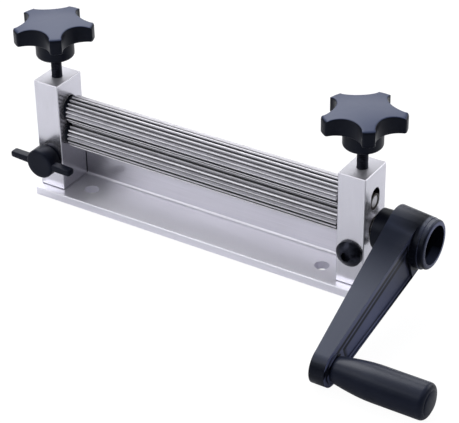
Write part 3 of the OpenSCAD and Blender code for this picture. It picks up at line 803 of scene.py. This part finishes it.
def crank_arm(material):
    """The moulded arm, with soft edges and a hub that tapers from its inner side to its mouth."""
    hub, reach = arm_line()
    upper = edge_normal(reach, 1, ARM_UPPER_R)
    lower = edge_normal(reach, -1, ARM_LOWER_R)
    down = reach.normalized()
    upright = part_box("right_upright")[1].x

    def from_hub(place):
        return Vector(place[1:]) - hub

    def outside_recess(edge):
        """The edges in the recess stay sharp."""
        at = (edge.verts[0].co + edge.verts[1].co) / 2
        out = from_hub(at)
        to_edge = min(out.dot(upper) + ARM_UPPER_R, out.dot(lower) + ARM_LOWER_R)
        inside = to_edge > ARM_RIM and HUB_INNER_R < out.dot(down) < PANEL_END + ARM_RIM
        return not (inside and at.x > upright + ARM_MID_OUT)

    bm = softened("crank_arm", ARM_EDGE, 3, outside_recess)
    inner_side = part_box("crank_insert")[1].x + CUP_DEPTH - HUB_LEN
    for v in bm.verts:
        out = from_hub(v.co)
        share = (v.co.x - inner_side) / HUB_LEN
        if out.length < HUB_SHELL_R or share < 0:
            continue
        wanted = HUB_INNER_R + (HUB_MOUTH_R - HUB_INNER_R) * share
        keep = smooth_step(out.dot(down) / HUB_BLEND)
        factor = min(wanted / out.length, 1) * (1 - keep) + keep
        v.co.y, v.co.z = hub + out * factor
    for v in bm.verts:
        out = from_hub(v.co)
        face = upright + ARM_FACE_OUT - ARM_FACE_FALL * out.dot(down) / reach.length
        depth = face - v.co.x
        if v.co.x > upright + ARM_MID_OUT and depth > 0 and out.length > HUB_SHELL_R:
            v.co.x = face - RECESS_SHARE * depth
    piece("crank_arm_moulding", bm, material, "crank", "crank_arm")


# Front screws


def wing_hub(out):
    """The knob's turned hub: a neck at the back and a rounded rim at the front."""
    profile = [(WING_NECK_R, WING_BACK_GAP), (WING_NECK_R, WING_NECK_H)]
    profile += [(WING_HUB_R - WING_HUB_CHAMFER, WING_NECK_H), (WING_HUB_R, WING_NECK_H + WING_HUB_CHAMFER)]
    for a in quarter(6):
        r = WING_HUB_R - WING_HUB_ROUND * (1 - math.cos(a))
        profile.append((r, out - WING_HUB_ROUND * (1 - math.sin(a))))
    profile += [(WING_HUB_R * share, out) for share in WING_FRONT_SHARES]
    return lathe(profile, WING_HUB_SIDES)


def wings(out, half_span):
    """Both wings as one bar through the hub, thinner and rounded towards its ends."""
    middle_out = out - WING_STEP - WING_DEPTH / 2
    sections = []
    for share in [-s for s in WING_SECTION_SHARES[:0:-1]] + list(WING_SECTION_SHARES):
        side = abs(share)
        past = max(side - WING_TIP_SHARE, 0) / (1 - WING_TIP_SHARE)
        rounding = WING_TIP_ROUND * (1 - math.sqrt(1 - past**2))
        half_t = (WING_ROOT_T + (WING_TIP_T - WING_ROOT_T) * side) / 2 - rounding
        outline = rounded_outline(half_t, WING_DEPTH / 2 - rounding, WING_CORNER)
        sections.append([(share * half_span, p.x, middle_out + p.y) for p in outline])
    return skin(sections)


def wing_knob(material):
    """A round hub with two flat wings, standing out of the left upright's front."""
    low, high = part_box("wing_knob")
    axis = middle("wing_stud")
    knob = joined([wing_hub(high.y - low.y), wings(high.y - low.y, (high.x - low.x) / 2)])
    turn = Matrix.Rotation(math.radians(90), 4, "X") @ Matrix.Rotation(math.radians(WING_TURN), 4, "Z")
    place = Matrix.Translation((axis.x, high.y, axis.z)) @ turn
    name = "wing_knob_moulding"
    piece(name, knob, material, "wing_screw", "wing_knob", place, 45, False)


def clamp_button(material):
    button = softened("clamp_screw", BUTTON_EDGE)
    piece("clamp_button", button, material, "frame", "clamp_screw")


# Base and uprights


def base(material):
    angle = softened("base_angle", BASE_EDGE)
    piece("base", angle, material, "frame", "base_angle")


def post(side, material):
    bar = softened(f"{side}_upright", POST_EDGE)
    piece(f"{side}_post", bar, material, "frame", f"{side}_upright")


# Stage


def studio():
    """A pale room in reflections and soft light on the object, and plain white behind it."""
    world = bpy.data.worlds.new("studio")
    bpy.context.scene.world = world
    f = Finish(world)
    seen = f.node("ShaderNodeLightPath", output="Is Camera Ray")
    mirrored = f.node("ShaderNodeLightPath", output="Is Glossy Ray")
    where = f.node("ShaderNodeTexCoord", output="Generated")
    sky = f.ramp(f.part(where, "Z"), -0.1, 0.9, 0.32, 0.28) * f.ramp(f.part(where, "X"), -0.2, 0.9, 1, 0.7)
    glow = mirrored * sky + (1 - mirrored) * 0.42
    light = f.node("ShaderNodeBackground", {}, {"Color": (0.93, 0.95, 1, 1), "Strength": glow})
    white = f.node("ShaderNodeBackground", {}, {"Color": (1, 1, 1, 1), "Strength": 1})
    shown = f.node("ShaderNodeMixShader", {}, {0: seen, 1: light, 2: white})
    f.node("ShaderNodeOutputWorld", {}, {"Surface": shown}, None)


def floor():
    """A pale floor that the camera sees as nearly white, with the object's shadow on it."""
    material, f = new_finish("floor_paint")
    paint = f.node("ShaderNodeBsdfDiffuse", {}, {"Color": (0.86, 0.86, 0.88, 1)})
    white = f.node("ShaderNodeEmission", {}, {"Color": (1, 1, 1, 1), "Strength": 1.08})
    share = 0.88 * f.node("ShaderNodeLightPath", output="Is Camera Ray")
    shader = f.node("ShaderNodeMixShader", {}, {0: share, 1: paint, 2: white})
    f.node("ShaderNodeOutputMaterial", {}, {"Surface": shader}, None)
    corners = [(x * FLOOR_HALF, y * FLOOR_HALF, 0) for x, y in ((-1, -1), (1, -1), (1, 1), (-1, 1))]
    mesh = bpy.data.meshes.new("floor")
    mesh.from_pydata(corners, [], [(0, 1, 2, 3)])
    mesh.materials.append(material)
    made = bpy.data.objects.new("floor", mesh)
    bpy.context.scene.collection.objects.link(made)


def softbox(name, place, size, power):
    lamp = bpy.data.lights.new(name, "AREA")
    lamp.shape = "RECTANGLE"
    lamp.size, lamp.size_y = size
    lamp.energy = power
    made = bpy.data.objects.new(name, lamp)
    bpy.context.scene.collection.objects.link(made)
    made.location = place
    made.rotation_euler = (Vector(LAMP_AIM) - Vector(place)).to_track_quat("-Z", "Y").to_euler()


def camera():
    azimuth = math.radians(CAMERA_AZIMUTH)
    elevation = math.radians(CAMERA_ELEVATION)
    level = math.cos(elevation)
    back = Vector((math.sin(azimuth) * level, -math.cos(azimuth) * level, math.sin(elevation)))
    right = Vector((0, 0, 1)).cross(back).normalized()
    up = back.cross(right)
    turn = Matrix((right, up, back)).transposed().to_4x4()
    data = bpy.data.cameras.new("camera")
    data.sensor_fit = "HORIZONTAL"
    data.sensor_width = SENSOR
    data.lens = LENS
    data.shift_x, data.shift_y = SHIFT
    data.clip_start, data.clip_end = CAMERA_CLIP
    made = bpy.data.objects.new("camera", data)
    bpy.context.scene.collection.objects.link(made)
    place = Vector(CAMERA_AIM) + back * CAMERA_DISTANCE
    made.matrix_world = Matrix.Translation(place) @ turn @ Matrix.Rotation(math.radians(CAMERA_ROLL), 4, "Z")
    bpy.context.scene.camera = made


# The mill

extruded = milled_aluminium(
    "extruded_aluminium", (30, 1500, 1500), "X", (0.37, 0.44), (0.27, 0.35), base_seam_shade, painted_foot_light=True
)
sawn = milled_aluminium("sawn_aluminium", (1500, 1500, 60), "Z", (0.64, 0.72), (0.2, 0.27), post_seam_shade)
# The numbers after each name: painted light on the topside, the topside's gloss, and the nylon's tone
star_plastic = moulded_plastic("black_nylon", 0.6, 0.5)
wing_plastic = moulded_plastic("wing_nylon", 0.05, 0.3, 1.3)
washer_plastic = moulded_plastic("washer_nylon", 0, 0)
crank_plastic = moulded_plastic("crank_nylon", 0.4, 0.75, light_colour=CRANK_PAINTED_LIGHT, side_light=0.9, shade=arm_shade)
grip_plastic = moulded_plastic("grip_nylon", 0.1, 0.6, 2)
blackened = black_steel("black_oxide")
steel = bright_steel("bright_steel")
bronze = bearing_bronze("sintered_bronze")

fluted_roller("lower", "crank")
fluted_roller("upper", "upper_roll")
for side, turn in KNOB_TURNS.items():
    star_knob(side, turn, star_plastic)
for side in KNOB_TURNS:
    adjusting_screw(side, blackened)
handle_grip(grip_plastic)
crank_arm(crank_plastic)
wing_knob(wing_plastic)
base(extruded)
post("left", sawn)
post("right", sawn)
clamp_button(blackened)

# CAD nodes that keep their own shapes
kept_nodes = (
    (bronze, ("left_lower_bush", "right_lower_bush", "left_upper_block", "right_upper_block")),
    (washer_plastic, ("left_lower_washer", "right_lower_washer", "left_upper_washer", "right_upper_washer")),
    (steel, ("crank_insert", "handle_spindle", "grip_ring")),
    (blackened, ("crank_washer", "crank_screw", "spindle_nut", "wing_washer", "wing_stud")),
)
for finish, names in kept_nodes:
    for name in names:
        for slot in nodes[name].material_slots:
            slot.material = finish

studio()
floor()
for name, setting in SOFTBOXES.items():
    softbox(name, *setting)
camera()
bpy.context.scene.view_settings.view_transform = "Standard"
